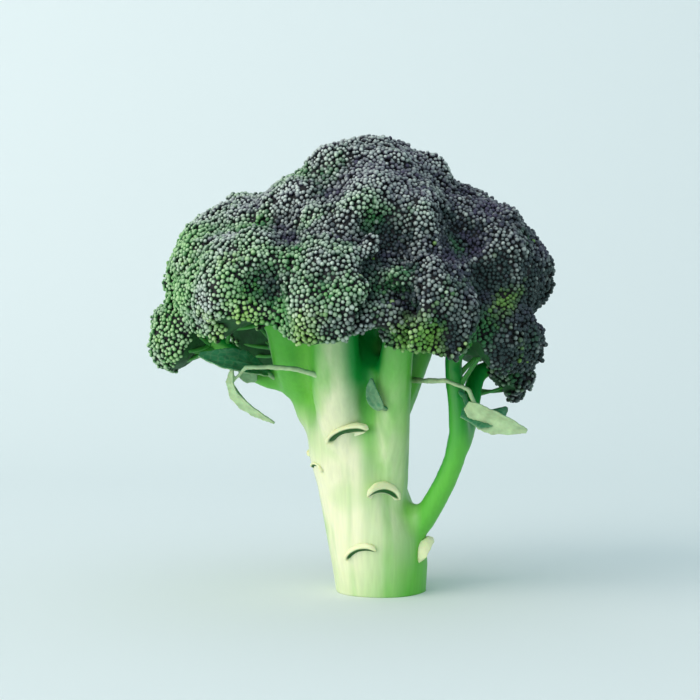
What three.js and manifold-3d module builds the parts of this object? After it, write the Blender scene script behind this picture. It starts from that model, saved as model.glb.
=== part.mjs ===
// A broccoli head standing on its cut stalk: the stalk, a branch to each floret, the florets that
// make up the crown, the small leaves that were left on, and the stubs of the leaves that were cut off.
// Millimetres, +Z up. The origin is the centre of the cut face, and -Y is the front.
import * as THREE from "three";
import { mergeVertices } from "three/addons/utils/BufferGeometryUtils.js";
import Module from "manifold-3d";

const wasm = await Module();
wasm.setup();

// ---- Sizes ----

// Crown
const CROWN_WIDTH = 156; // along X
const CROWN_DEPTH = 146; // along Y
const CROWN_HEIGHT = 85; // from the level of its rim to its top
const RIM_HEIGHT = 95; // from the cut face to the crown's rim
const CROWN_LEAN = -12; // its centre along X from the cut face's centre
const DOME_FLATNESS = 0.82; // a floret's height over its half width

// Stalk
const STALK_WIDTH = 35; // at the cut face
const STALK_BELLY = 39; // at its widest, where the lowest leaves grew
const STALK_WAIST = 35; // between the belly and the shoulder
const STALK_SHOULDER = 38; // where the branches leave it
const STALK_TIP = 14; // where it ends, inside the crown
const STALK_LEAN = -11; // its centre along X at its shoulder
const FLUTE_DEPTH = 1.8; // of the hollows between its ribs
const STALK_RIBS = 5;

// Branches
const BRANCH_WIDTH = 18; // where a branch leaves the stalk
const NECK_WIDTH = 12.5; // where it meets its floret
const BRANCH_BOW = [0.42, 0.38]; // how far out and up its bend is, as shares of its way
const FORK_SHARE = 0.55; // where another branch forks from it, as a share of its length

// Leaves, and the stubs of leaves
const PETIOLE_WIDTH = 2.6;
const MIDRIB_WIDTH = 1.5;
const LEAF_THICKNESS = 0.9;

// Between two pieces that grow into one another
const GAP = 0.35;

// How finely the shapes are faceted
const FLORET_DETAIL = 2;
const STALK_SIDES = 22;
const STALK_STEPS = 12;
const BRANCH_SIDES = 8;
const BRANCH_STEPS = 10;
const LEAF_SIDES = 6;
const LEAF_STEPS = 6;

const FINISHES = {
  stalk: { color: "#cfe3a4", roughness: 0.45 },
  branch: { color: "#9fce6c", roughness: 0.45 },
  floret: { color: "#3f5a48", roughness: 0.7 },
  leaf: { color: "#5f9a63", roughness: 0.55 },
  stub: { color: "#dfe7b4", roughness: 0.5 },
};

const vec = (x, y, z) => new THREE.Vector3(x, y, z);
const between = (a, b, share) => a + (b - a) * share;
const UP = vec(0, 0, 1);

// ---- Solids ----

// A closed geometry as a solid that can be joined and cut.
function solidOf(geometry) {
  const bare = new THREE.BufferGeometry();
  bare.setAttribute("position", geometry.getAttribute("position"));
  bare.setIndex(geometry.index);
  const merged = mergeVertices(bare, 1e-3);
  const corners = merged.index.array;
  const kept = [];
  for (let i = 0; i < corners.length; i += 3) {
    const [a, b, c] = corners.slice(i, i + 3);
    if (a !== b && b !== c && c !== a) kept.push(a, b, c);
  }
  return new wasm.Manifold(
    new wasm.Mesh({
      numProp: 3,
      vertProperties: merged.attributes.position.array,
      triVerts: new Uint32Array(kept),
    }),
  );
}

function geometryOf(solid) {
  const mesh = solid.getMesh();
  const geometry = new THREE.BufferGeometry();
  geometry.setAttribute("position", new THREE.BufferAttribute(mesh.vertProperties, 3));
  geometry.setIndex(new THREE.BufferAttribute(mesh.triVerts, 1));
  geometry.computeVertexNormals();
  return geometry;
}

// The biggest body of a solid, for a cut that pinches a crumb off an edge.
function mainBody(solid) {
  return solid.decompose().sort((a, b) => b.volume() - a.volume())[0];
}

// Moves every vertex of a geometry to where place(vertex) says.
function reshape(geometry, place) {
  const positions = geometry.attributes.position;
  const vertex = vec(0, 0, 0);
  for (let i = 0; i < positions.count; i++) {
    const moved = place(vertex.fromBufferAttribute(positions, i));
    positions.setXYZ(i, moved.x, moved.y, moved.z);
  }
  return geometry;
}

// A drum of unit radius with a ring of vertices at each whole height from 0 to steps.
function drum(sides, steps) {
  const profile = [new THREE.Vector2(0, 0)];
  for (let i = 0; i <= steps; i++) profile.push(new THREE.Vector2(1, i));
  profile.push(new THREE.Vector2(0, steps));
  return new THREE.LatheGeometry(profile, sides);
}

// A round limb along a curve, as wide as widthAt(share along) says.
function limb(curve, widthAt, sides, steps) {
  const frames = curve.computeFrenetFrames(steps);
  const place = (v) => {
    const step = Math.round(v.y);
    const radius = widthAt(step / steps) / 2;
    return curve
      .getPointAt(step / steps)
      .addScaledVector(frames.normals[step], v.x * radius)
      .addScaledVector(frames.binormals[step], -v.z * radius);
  };
  return solidOf(reshape(drum(sides, steps), place));
}

// ---- Stalk ----

const STALK_HEIGHT = RIM_HEIGHT + CROWN_HEIGHT * 0.34; // it ends well inside the crown

// The stalk's axis: how far it leans, and how wide it is, at shares of its height.
const leanLine = new THREE.SplineCurve([
  new THREE.Vector2(0, 0),
  new THREE.Vector2(0.17, STALK_LEAN * 0.2),
  new THREE.Vector2(0.32, STALK_LEAN * 0.7),
  new THREE.Vector2(0.5, STALK_LEAN),
  new THREE.Vector2(1, CROWN_LEAN),
]);
const widthLine = new THREE.SplineCurve([
  new THREE.Vector2(0, STALK_WIDTH),
  new THREE.Vector2(0.17, STALK_BELLY),
  new THREE.Vector2(0.32, STALK_WAIST),
  new THREE.Vector2(0.5, STALK_SHOULDER),
  new THREE.Vector2(0.64, between(STALK_SHOULDER, STALK_TIP, 0.45)),
  new THREE.Vector2(0.8, between(STALK_SHOULDER, STALK_TIP, 0.85)),
  new THREE.Vector2(1, STALK_TIP),
]);

// A spline's value where its first coordinate is x, by halving.
function valueAt(spline, x) {
  let low = 0;
  let high = 1;
  for (let i = 0; i < 30; i++) {
    const middle = (low + high) / 2;
    if (spline.getPoint(middle).x < x) low = middle;
    else high = middle;
  }
  return spline.getPoint(low).y;
}

const stalkAxis = (height) => vec(valueAt(leanLine, height / STALK_HEIGHT), 0, height);

// The stalk's surface at a height and an angle round it, from +X towards +Y.
function stalkSurface(height, angle, grown = 0) {
  const share = height / STALK_HEIGHT;
  const flute = FLUTE_DEPTH * Math.min(1, 0.25 + share);
  const hollow = flute * (0.5 - 0.5 * Math.cos(STALK_RIBS * angle));
  const radius = valueAt(widthLine, share) / 2 - hollow + grown;
  return stalkAxis(height).add(vec(Math.cos(angle) * radius, Math.sin(angle) * radius, 0));
}

function stalkSolid(grown) {
  const place = (v) => {
    const height = (v.y / STALK_STEPS) * STALK_HEIGHT;
    if (Math.hypot(v.x, v.z) < 0.5) return stalkAxis(height);
    return stalkSurface(height, Math.atan2(-v.z, v.x), grown);
  };
  return solidOf(reshape(drum(STALK_SIDES, STALK_STEPS), place));
}

// ---- Florets ----

// at: its centre, as shares of the crown's half width, half depth and height from the middle of the
// rim. width: as a share of the crown's. lobes: a number that varies its lobes. Its branch leaves the
// stalk at leaves, a share of the rim's height, or forks from another floret's branch. foot: where it
// starts along X and Y from the stalk's middle. bow: how far out and up its bend is, as shares of its way.
// girth: how thick it is beside the others. A floret makes room for those above it here.
const FLORETS = [
  {
    name: "front_left", at: [-0.08, -0.61, 0.25], width: 0.37, lobes: 1, leaves: 0.3,
    foot: [-9, -3], bow: [0.3, 0.4],
  },
  { name: "front_far_left", at: [-0.49, -0.48, 0.28], width: 0.36, lobes: 2, fork: "left" },
  {
    name: "front_right", at: [0.32, -0.6, 0.2], width: 0.34, lobes: 3, leaves: 0.28,
    foot: [5, -4], bow: [0.3, 0.42],
  },
  {
    name: "left", at: [-0.57, -0.05, 0.37], width: 0.43, lobes: 7, leaves: 0.42,
    bow: [0.5, 0.36], girth: 0.85,
  },
  { name: "front_upper", at: [0.12, -0.3, 0.51], width: 0.45, lobes: 6, leaves: 0.8 },
  { name: "right", at: [0.6, -0.12, 0.39], width: 0.44, lobes: 4, leaves: 0.55, foot: [4, -3] },
  {
    name: "right_low", at: [0.67, -0.34, 0.09], width: 0.3, lobes: 5, leaves: 0.12,
    foot: [8, 0], bow: [1.05, 0.55], girth: 0.55,
  },
  {
    name: "left_low", at: [-0.82, 0.04, 0.08], width: 0.26, lobes: 8, fork: "left",
    bow: [0.5, 0.2], girth: 0.55,
  },
  { name: "top", at: [0.12, 0.06, 0.63], width: 0.52, lobes: 9, leaves: 1.12 },
  { name: "upper_left", at: [-0.21, -0.1, 0.55], width: 0.38, lobes: 10, leaves: 0.98 },
  { name: "upper_right", at: [0.44, 0.2, 0.5], width: 0.45, lobes: 11, leaves: 0.84 },
  { name: "right_lowest", at: [0.79, 0.14, -0.08], width: 0.2, lobes: 12, fork: "right_low", girth: 0.55 },
  { name: "back_upper", at: [-0.02, 0.42, 0.46], width: 0.43, lobes: 13, leaves: 0.9 },
  { name: "back_left", at: [-0.47, 0.4, 0.28], width: 0.39, lobes: 14, leaves: 0.66 },
  { name: "back_right", at: [0.52, 0.52, 0.22], width: 0.41, lobes: 15, leaves: 0.56 },
  { name: "back_low", at: [0.04, 0.69, 0.14], width: 0.35, lobes: 16, leaves: 0.48 },
  { name: "back_left_low", at: [-0.4, 0.66, 0.06], width: 0.29, lobes: 17, leaves: 0.36 },
];

const rimCentre = vec(CROWN_LEAN, 0, RIM_HEIGHT);
const fanRoot = vec(CROWN_LEAN * 0.8, 0, RIM_HEIGHT * 0.76); // where the florets seem to fan out from

for (const floret of FLORETS) {
  const [x, y, z] = floret.at;
  const reach = vec((x * CROWN_WIDTH) / 2, (y * CROWN_DEPTH) / 2, z * CROWN_HEIGHT);
  floret.centre = rimCentre.clone().add(reach);
  floret.radius = (floret.width * CROWN_WIDTH) / 2;
  floret.outward = floret.centre.clone().sub(fanRoot).normalize();
  floret.neck = floret.centre.clone().addScaledVector(floret.outward, -0.7 * floret.radius);
}
const floretNamed = (name) => FLORETS.find((floret) => floret.name === name);

// A repeatable number from 0 to 1 that varies with the seed.
function chance(seed) {
  const s = Math.sin(seed * 127.1 + 11.7) * 43758.5453;
  return s - Math.floor(s);
}

// The balls that a floret's skin is stretched over, in a frame whose +Z is outward and whose unit is
// the floret's half width: a heart, a neck below it, a crest, and rings of lobes down to the rim.
function lobesOf(seed) {
  const balls = [
    { at: vec(0, 0, 0), r: 0.6 },
    { at: vec(0, 0, -0.5), r: 0.34 },
    { at: vec(0, 0, 0.48), r: 0.44 },
  ];
  const rings = [
    { count: 5, slope: 50, reach: 0.6, r: 0.38 },
    { count: 7, slope: 92, reach: 0.66, r: 0.34 },
  ];
  rings.forEach(({ count, slope, reach, r }, ring) => {
    for (let i = 0; i < count; i++) {
      const key = seed * 50 + ring * 10 + i;
      const round = ((i + 0.4 * chance(key)) / count) * 2 * Math.PI + seed;
      const down = THREE.MathUtils.degToRad(slope + 14 * (chance(key + 0.3) - 0.5));
      const out = reach * between(0.92, 1.08, chance(key + 0.6));
      const at = new THREE.Vector3().setFromSphericalCoords(out, down, round);
      balls.push({ at: vec(at.x, at.z, at.y), r: r * between(0.85, 1.15, chance(key + 0.9)) });
    }
  });
  return balls;
}

// How far out along a direction the skin over the balls is.
function reachOf(balls, direction) {
  const SHARPNESS = 18; // how sharply one ball's skin meets the next
  let sum = 0;
  for (const { at, r } of balls) {
    const along = direction.dot(at);
    const inside = r * r - at.lengthSq() + along * along;
    if (inside > 0) sum += Math.exp(SHARPNESS * (along + Math.sqrt(inside)));
  }
  return Math.log(sum) / SHARPNESS;
}

function floretSolid(floret, grown) {
  const balls = lobesOf(floret.lobes);
  const turn = new THREE.Quaternion().setFromUnitVectors(UP, floret.outward);
  const place = (v) => {
    const direction = v.clone().normalize();
    const skin = direction.clone().multiplyScalar(reachOf(balls, direction) * floret.radius);
    skin.z *= DOME_FLATNESS;
    return skin.addScaledVector(direction, grown).applyQuaternion(turn).add(floret.centre);
  };
  return solidOf(reshape(new THREE.IcosahedronGeometry(1, FLORET_DETAIL), place));
}

// ---- Branches ----

function branchLine(floret) {
  const start = floret.fork
    ? branchLine(floretNamed(floret.fork)).getPointAt(FORK_SHARE)
    : stalkAxis(floret.leaves * RIM_HEIGHT).add(vec(...(floret.foot ?? [0, 0]), 0));
  const way = floret.neck.clone().sub(start);
  const [out, up] = floret.bow ?? BRANCH_BOW;
  const knee = start.clone().add(vec(way.x * out, way.y * out, way.z * up));
  const end = floret.neck.clone().addScaledVector(floret.outward, 0.3 * floret.radius);
  return new THREE.CatmullRomCurve3([start, knee, floret.neck, end]);
}

function branchWidth(floret, share) {
  return between(BRANCH_WIDTH, NECK_WIDTH, Math.min(1, share * 1.3)) * (floret.girth ?? 1);
}

function branchSolid(floret, grown) {
  const widthAt = (share) => branchWidth(floret, share) + 2 * grown;
  return limb(branchLine(floret), widthAt, BRANCH_SIDES, BRANCH_STEPS);
}

// How far a branch stands out from the stalk's axis at a height, the way that outward points.
function branchReach(floret, height, outward) {
  const line = branchLine(floret);
  const rises = new THREE.SplineCurve(
    line.getSpacedPoints(40).map((point, i) => new THREE.Vector2(point.z, i / 40)),
  );
  const share = valueAt(rises, height);
  const middle = line.getPointAt(share).sub(stalkAxis(height));
  return middle.dot(outward) + branchWidth(floret, share) / 2;
}

// ---- Stubs of the leaves that were cut off ----

// Each is a lip across the stalk. height: a share of the rim's height. round: its angle round the stalk
// in degrees, with -90 the front. width, thick and out: its length, thickness and how far it stands out.
// over: the floret whose branch it crosses, where a branch stands out of the stalk.
const STUBS = [
  {
    name: "front_upper", height: 0.67, round: -97, width: 18, thick: 5, out: 3, tilt: 20,
    over: "front_left",
  },
  {
    name: "front_middle", height: 0.43, round: -64, width: 15, thick: 7, out: 2, tilt: -8,
    over: "front_right",
  },
  { name: "front_lower", height: 0.19, round: -112, width: 14, thick: 5, out: 2.5, tilt: 20 },
  { name: "left_middle", height: 0.52, round: -146, width: 8, thick: 3, out: 1.5, tilt: -12 },
  { name: "right_lower", height: 0.19, round: -22, width: 13, thick: 6.5, out: 4.5, tilt: 35 },
  { name: "back_lower", height: 0.28, round: 75, width: 16, thick: 5, out: 3, tilt: -15 },
  { name: "back_upper", height: 0.55, round: 138, width: 15, thick: 5, out: 3, tilt: 12 },
];

function stubSolid({ height, round, width, thick, out, tilt, over }, grown) {
  const angle = THREE.MathUtils.degToRad(round);
  const outward = vec(Math.cos(angle), Math.sin(angle), 0);
  const level = height * RIM_HEIGHT;
  const foot = stalkSurface(level, angle);
  const covered = over ? branchReach(floretNamed(over), level, outward) : 0;
  const proud = covered - foot.clone().sub(stalkAxis(level)).length();
  foot.addScaledVector(outward, Math.max(0, proud));
  const across = vec(-outward.y, outward.x, 0).applyAxisAngle(outward, THREE.MathUtils.degToRad(tilt));
  const upright = outward.clone().cross(across);
  const place = (v) =>
    foot
      .clone()
      .addScaledVector(across, v.x * (width / 2 + grown))
      .addScaledVector(upright, v.y * (thick / 2 + grown))
      .addScaledVector(outward, v.z * (out + grown));
  return solidOf(reshape(new THREE.SphereGeometry(1, 10, 5), place));
}

// ---- Leaves ----

// Each grows from a floret's branch, at a share of its way, by a stalk through points of its own. Its
// blade has points of its own too, and a face that looks the way it says. Points are from where it grows.
const LEAVES = [
  {
    name: "right_pale", branch: "right", along: 0.45,
    petiole: [[0, 0, 0], [7, -12, 1], [13, -22, 1], [21, -25, 1], [26, -27, -7]],
    blade: [[23, -27, -7], [28, -29, -11], [36, -30, -14], [45, -29, -17]],
    face: [-0.3, -0.8, -0.5], width: 11, cup: 0.35,
  },
  {
    name: "right_curled", branch: "right_low", along: 0.78,
    petiole: [[0, 0, 0], [3, -6, -3], [4, -9, -6]],
    blade: [[4, -9, -6], [7, -11, -10], [12, -11, -9], [19, -6, -7]],
    face: [0.2, -0.3, 0.9], width: 12, cup: -0.5,
  },
  {
    name: "left_drooping", branch: "front_left", along: 0.62,
    petiole: [[0, 0, 0], [-12, -5, 6], [-25, -6, 8], [-37, -4, 8], [-42, -3, 6]],
    blade: [[-42, -3, 7], [-42, -3, 0], [-37, -3, -6], [-26, -3, -13]],
    face: [-0.8, -0.6, -0.2], width: 6, cup: 0.4,
  },
  {
    name: "left_broad", branch: "left_low", along: 0.2,
    petiole: [[0, 0, 0], [-2, -5, 1], [-5, -7, 3]],
    blade: [[-5, -7, 3], [-12, -11, 6], [-21, -12, 8], [-31, -10, 10]],
    face: [-0.1, -0.6, 0.8], width: 14, cup: 0.2,
  },
  {
    name: "left_bract", branch: "left_low", along: 0.45,
    petiole: [[0, 0, 0], [0, -5, -3], [-1, -8, -3]],
    blade: [[-1, -8, -4], [-2, -10, 0], [-4, -10, 5]],
    face: [-0.3, -0.9, -0.2], width: 8, cup: 0.3,
  },
  {
    name: "front_bract", branch: "front_right", along: 0.55,
    petiole: [[0, 0, 0], [-2, -6, 0], [-5, -9, 1]],
    blade: [[-4, -9, 0], [-7, -9, 5], [-8, -9, 12]],
    face: [-0.5, -0.9, 0.1], width: 6, cup: 0.4,
  },
];

// The curve through points counted from where the leaf grows.
function leafLine(leaf, points) {
  const root = branchLine(floretNamed(leaf.branch)).getPointAt(leaf.along);
  return new THREE.CatmullRomCurve3(points.map((point) => vec(...point).add(root)));
}

function bladeSolid(leaf, grown) {
  const line = leafLine(leaf, leaf.blade);
  const place = (v) => {
    const share = v.x + 0.5;
    const along = line.getTangentAt(share);
    const across = vec(...leaf.face).cross(along).normalize();
    const outward = along.clone().cross(across);
    const fullness = Math.sin(Math.PI * Math.pow(between(0.06, 0.98, share), 0.8));
    const half = (leaf.width / 2) * between(0.12, 1, fullness);
    const lift = leaf.cup * half * 4 * v.y * v.y + v.z * (LEAF_THICKNESS + 2 * grown);
    return line
      .getPointAt(share)
      .addScaledVector(across, v.y * 2 * (half + grown))
      .addScaledVector(outward, lift);
  };
  return solidOf(reshape(new THREE.BoxGeometry(1, 1, 1, LEAF_STEPS, 4, 1), place));
}

function leafSolid(leaf, grown) {
  const midrib = leaf.blade.slice(1, 3); // the petiole runs on into the blade
  const widthAt = (share) => between(PETIOLE_WIDTH, MIDRIB_WIDTH, share) + 2 * grown;
  const petiole = limb(leafLine(leaf, [...leaf.petiole, ...midrib]), widthAt, LEAF_SIDES, LEAF_STEPS);
  return petiole.add(bladeSolid(leaf, grown));
}

// ---- Assembly ----

const pieces = [{ name: "stalk", finish: "stalk", shape: stalkSolid }];
const forksLast = [...FLORETS].sort((a, b) => Boolean(a.fork) - Boolean(b.fork));
for (const [finish, plans, solid] of [
  ["branch", forksLast, branchSolid],
  ["floret", FLORETS, floretSolid],
  ["stub", STUBS, stubSolid],
  ["leaf", LEAVES, leafSolid],
]) {
  for (const plan of plans)
    pieces.push({ name: `${finish}_${plan.name}`, finish, shape: (grown) => solid(plan, grown) });
}

const head = new THREE.Group();
let taken = null; // all the pieces so far, each grown by the gap
for (const { name, finish, shape } of pieces) {
  const whole = shape(0);
  const cut = taken ? mainBody(whole.subtract(taken)) : whole;
  taken = taken ? taken.add(shape(GAP)) : shape(GAP);
  const material = new THREE.MeshStandardMaterial({ ...FINISHES[finish], metalness: 0 });
  const mesh = new THREE.Mesh(geometryOf(cut), material);
  mesh.name = name;
  head.add(mesh);
}

export default head;
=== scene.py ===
import math

import bmesh
import bpy
import numpy as np
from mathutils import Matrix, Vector, kdtree, noise
from mathutils.bvhtree import BVHTree


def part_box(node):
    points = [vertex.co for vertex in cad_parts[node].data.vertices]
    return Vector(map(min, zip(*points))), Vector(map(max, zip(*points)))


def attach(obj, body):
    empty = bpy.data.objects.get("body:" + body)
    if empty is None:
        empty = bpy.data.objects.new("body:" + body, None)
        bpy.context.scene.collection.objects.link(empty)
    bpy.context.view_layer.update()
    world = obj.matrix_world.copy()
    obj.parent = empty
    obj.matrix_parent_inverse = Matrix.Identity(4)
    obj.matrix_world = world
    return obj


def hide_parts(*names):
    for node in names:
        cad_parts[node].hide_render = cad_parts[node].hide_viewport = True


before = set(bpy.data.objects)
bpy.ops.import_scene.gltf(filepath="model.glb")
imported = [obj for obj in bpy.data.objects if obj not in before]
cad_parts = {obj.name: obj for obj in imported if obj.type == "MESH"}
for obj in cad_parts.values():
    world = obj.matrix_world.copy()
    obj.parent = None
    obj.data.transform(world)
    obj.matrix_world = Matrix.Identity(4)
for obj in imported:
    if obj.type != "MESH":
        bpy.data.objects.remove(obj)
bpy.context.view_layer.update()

bl_info = {
    "name": "Broccoli head",
    "version": (1, 0, 0),
    "blender": (4, 5, 0),
    "location": "3D View > Sidebar > Broccoli",
    "description": "Builds a broccoli head standing on its cut stalk, and a plain stage for it",
    "category": "Add Mesh",
}

MM = 0.001
SEED = 7  # for everything that varies from place to place


def nodes_of(kind):
    """The names of the frame's nodes of one kind, such as every branch."""
    return sorted(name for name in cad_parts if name.split("_")[0] == kind)


STALK_LOW, STALK_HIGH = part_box("stalk")
STALK_MIDDLE = (STALK_LOW.x + STALK_HIGH.x) / 2
RIM_HEIGHT = float(np.quantile([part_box(name)[0].z for name in nodes_of("floret")], 0.4))
CROWN_LOW = Vector(min(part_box(name)[0][axis] for name in nodes_of("floret")) for axis in range(3))
CROWN_HIGH = Vector(max(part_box(name)[1][axis] for name in nodes_of("floret")) for axis in range(3))
CROWN_MIDDLE = (CROWN_LOW + CROWN_HIGH) / 2


# ---- Settings ----


def length(name, description, default):
    return bpy.props.FloatProperty(name=name, description=description, default=default, unit="LENGTH")


def linear(hex_colour):
    """An sRGB colour such as "#8fa39a" as linear red, green and blue."""
    steps = [int(hex_colour[i : i + 2], 16) / 255 for i in (1, 3, 5)]
    return [s / 12.92 if s <= 0.04045 else ((s + 0.055) / 1.055) ** 2.4 for s in steps]


def colour(name, description, hex_colour):
    return bpy.props.FloatVectorProperty(
        name=name, description=description, default=linear(hex_colour), subtype="COLOR", min=0, max=1
    )


class StemSettings(bpy.types.PropertyGroup):
    grain: length("Grain", "Spacing of the surface that the stalk and branches are modelled with", 1.0 * MM)
    fillet: bpy.props.IntProperty(
        name="Fillet", description="Rounds of smoothing where branches meet the stalk", default=16
    )
    ridge: colour("Ridge", "The stalk's raised ribs", "#ebecc6")
    groove: colour("Groove", "The hollows between the ribs", "#77c641")
    green: colour("Green skin", "The greener side, and the branches", "#64bd42")
    # Painted shade: the deep green painted where the skin lies in shade under the crown and between crowded
    # branches.
    deep: colour("Painted shade skin", "The skin where branches crowd together under the crown", "#0c8f34")
    flesh: colour("Cut flesh", "The cut face and the cut ends of leaf stalks", "#f3f2cc")
    slit: colour("Slit", "The shaded slit under a cut leaf stalk", "#1a5c26")
    slit_width: length("Slit width", "The slit along a cut leaf stalk", 1.7 * MM)
    web: length("Web", "How far the hollows between branches are filled", 2.6 * MM)
    core: length("Core", "How far the stalk fills out in front, where branches leave it", 13.5 * MM)
    fan: length("Fan", "How far the left front branch widens towards the crown", 5.5 * MM)


class CrownSettings(bpy.types.PropertyGroup):
    grain: length("Grain", "Spacing of the surface that the crown is modelled with", 1.5 * MM)
    closing: length("Closing", "How far the creases between florets are filled", 3 * MM)
    crease_depth: bpy.props.FloatProperty(
        name="Crease depth", description="How much the creases between lobes are deepened", default=0.4
    )
    parting: length("Parting", "The depth of the crease between the two front florets", 13 * MM)
    lump_height: length("Lump height", "How far the lumps on a floret swell", 1.8 * MM)
    lump_width: length("Lump width", "How wide the lumps on a floret are", 15 * MM)
    cluster_height: length("Cluster height", "How far the small clusters of buds swell", 1.1 * MM)
    cluster_width: length("Cluster width", "How wide the small clusters of buds are", 5.5 * MM)
    bud_width: length("Bud width", "A closed bud's width", 1.7 * MM)
    bud_height: length("Bud height", "A closed bud's height", 2.6 * MM)
    bud_spacing: length("Bud spacing", "The least distance between buds", 1.25 * MM)
    bud_grey: colour("Bud", "A closed bud's waxy skin", "#2d3f3e")
    bud_violet: colour("Sunlit bud", "The purple tint on top of the crown", "#46415a")
    bud_fresh: colour("Fresh bud", "The greener buds low on the crown", "#3b8a42")
    bud_yellow: colour("Young bud", "The yellow-green buds along the rim", "#86bd42")
    # Partly painted highlight: the pale tip colour is both the real wax bloom and the light catching each
    # bud's tip.
    bud_bloom: colour("Bloom", "The pale wax on a bud's tip", "#cbd7cf")
    # Painted shade: the gap colour is near black, for the shade that falls between the buds.
    gap: colour("Gap", "The dark flesh between buds", "#0d0f12")
    branchlet: colour("Branchlet", "The stalks under the buds", "#4fa243")
    branchlet_gap: length("Branchlet gap", "The least distance between branchlets' ends", 5 * MM)
    branchlet_width: length("Branchlet width", "A branchlet's width where it leaves its branch", 2.3 * MM)


class LeafSettings(bpy.types.PropertyGroup):
    upper: colour("Upper face", "A leaf's upper face", "#2f7d52")
    under: colour("Under face", "A leaf's waxy under face", "#b9d3a0")


class StageSettings(bpy.types.PropertyGroup):
    paper: colour("Paper", "The seamless paper's colour", "#e6edee")
    distance: length("Camera distance", "From the camera to the head", 0.6)
    camera_height: length("Camera height", "Above the floor", 0.108)
    aim_height: length("Aim height", "What the camera looks at, above the floor", 0.094)
    lens: bpy.props.FloatProperty(name="Lens", description="Focal length", default=79, unit="CAMERA")


# ---- Making and shaping meshes ----


def deselect():
    if bpy.context.object and bpy.context.object.mode != "OBJECT":
        bpy.ops.object.mode_set(mode="OBJECT")
    bpy.ops.object.select_all(action="DESELECT")


def pick(piece):
    """Makes one piece the only one selected."""
    deselect()
    piece.select_set(True)
    bpy.context.view_layer.objects.active = piece


def merged_copy(nodes, name):
    """The frame's nodes copied into one new piece, with each node's loose triangles joined up."""
    deselect()
    for node in nodes:
        copy = bpy.data.objects.new(name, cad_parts[node].data.copy())
        copy.data.materials.clear()
        bpy.context.scene.collection.objects.link(copy)
        copy.select_set(True)
        bpy.context.view_layer.objects.active = copy
    if len(nodes) > 1:
        bpy.ops.object.join()
    piece = bpy.context.object
    piece.name = name
    bpy.ops.object.mode_set(mode="EDIT")
    bpy.ops.mesh.select_all(action="SELECT")
    bpy.ops.mesh.remove_doubles(threshold=0.01 * MM)
    bpy.ops.object.mode_set(mode="OBJECT")
    return piece


def modify(piece, kind, **settings):
    """Adds a modifier and applies it."""
    pick(piece)
    modifier = piece.modifiers.new(kind.lower(), kind)
    for key, value in settings.items():
        setattr(modifier, key, value)
    bpy.ops.object.modifier_apply(modifier=modifier.name)


def texture(name, kind, **settings):
    made = bpy.data.textures.new(name, kind)
    for key, value in settings.items():
        setattr(made, key, value)
    return made


def read(items, field, width=1):
    """One field of a mesh's vertices, edges or faces as an array."""
    kind = np.int32 if field == "vertices" else np.float32
    found = np.empty(len(items) * width, kind)
    items.foreach_get(field, found)
    return found.reshape(-1, width) if width > 1 else found


def write_points(mesh, points):
    mesh.vertices.foreach_set("co", np.asarray(points, np.float32).ravel())
    mesh.update()


def paint(mesh, name, values):
    """Stores a number for each vertex, for a material to read."""
    layer = mesh.attributes.get(name) or mesh.attributes.new(name, "FLOAT", "POINT")
    layer.data.foreach_set("value", np.asarray(values, np.float32))


def ramp(values, start, end):
    """0 up to start, 1 from end on, and straight in between."""
    return np.clip((values - start) / (end - start), 0, 1)


def bell(values, width):
    """1 at 0, falling smoothly to about a third at width on either side."""
    return np.exp(-((values / width) ** 2))


def unit(vectors):
    return vectors / np.linalg.norm(vectors, axis=1)[:, None]


def softened(mesh, values, rounds):
    """Values at the vertices, averaged with their neighbours' a number of times."""
    edges = read(mesh.edges, "vertices", 2)
    count = np.bincount(edges.ravel(), minlength=len(mesh.vertices))[:, None]
    for _ in range(rounds):
        total = np.zeros_like(values)
        for axis in range(values.shape[1]):
            total[:, axis] = np.bincount(edges[:, 0], values[edges[:, 1], axis], len(values))
            total[:, axis] += np.bincount(edges[:, 1], values[edges[:, 0], axis], len(values))
        values = 0.5 * values + 0.5 * total / np.maximum(count, 1)
    return values


def hollowness(mesh, rounds, depth):
    """How far each vertex lies in a hollow, from -1 on a ridge to 1, for hollows of that depth."""
    points = read(mesh.vertices, "co", 3)
    normals = read(mesh.vertices, "normal", 3)
    raised = softened(mesh, points, rounds) - points
    return np.clip((raised * normals).sum(1) / depth, -1, 1)


def finish_piece(piece, material, replaced):
    """Gives a piece its material and its place on the frame, and hides the nodes that it stands for."""
    piece.data.materials.clear()
    piece.data.materials.append(material)
    pick(piece)
    bpy.ops.object.shade_smooth()
    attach(piece, "root")
    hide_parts(*replaced)


# ---- Materials ----


def start_material(name):
    """A material with only its shader and output, and a function that adds a node to it.

    add(kind, settings, inputs) makes a node. An input is a value, or a (node, output name) link."""
    material = bpy.data.materials.new(name)
    material.use_nodes = True
    tree = material.node_tree
    shader = tree.nodes["Principled BSDF"]

    def connect(node, inputs):
        for key, value in inputs.items():
            if isinstance(value, tuple) and isinstance(value[0], bpy.types.Node):
                tree.links.new(value[0].outputs[value[1]], node.inputs[key])
            else:
                node.inputs[key].default_value = value

    def add(kind, settings=None, inputs=None):
        node = tree.nodes.new("ShaderNode" + kind)
        for key, value in (settings or {}).items():
            setattr(node, key, value)
        connect(node, inputs or {})
        return node

    return material, add, lambda inputs: connect(shader, inputs)


def opaque(rgb):
    return (*rgb, 1)


def mix(add, factor, a, b, blend="MIX"):
    """A colour between a and b. Each is a colour or a (node, output name) link."""
    return add(
        "Mix", {"data_type": "RGBA", "blend_type": blend}, {0: factor, 6: a, 7: b}
    ), 2


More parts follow.
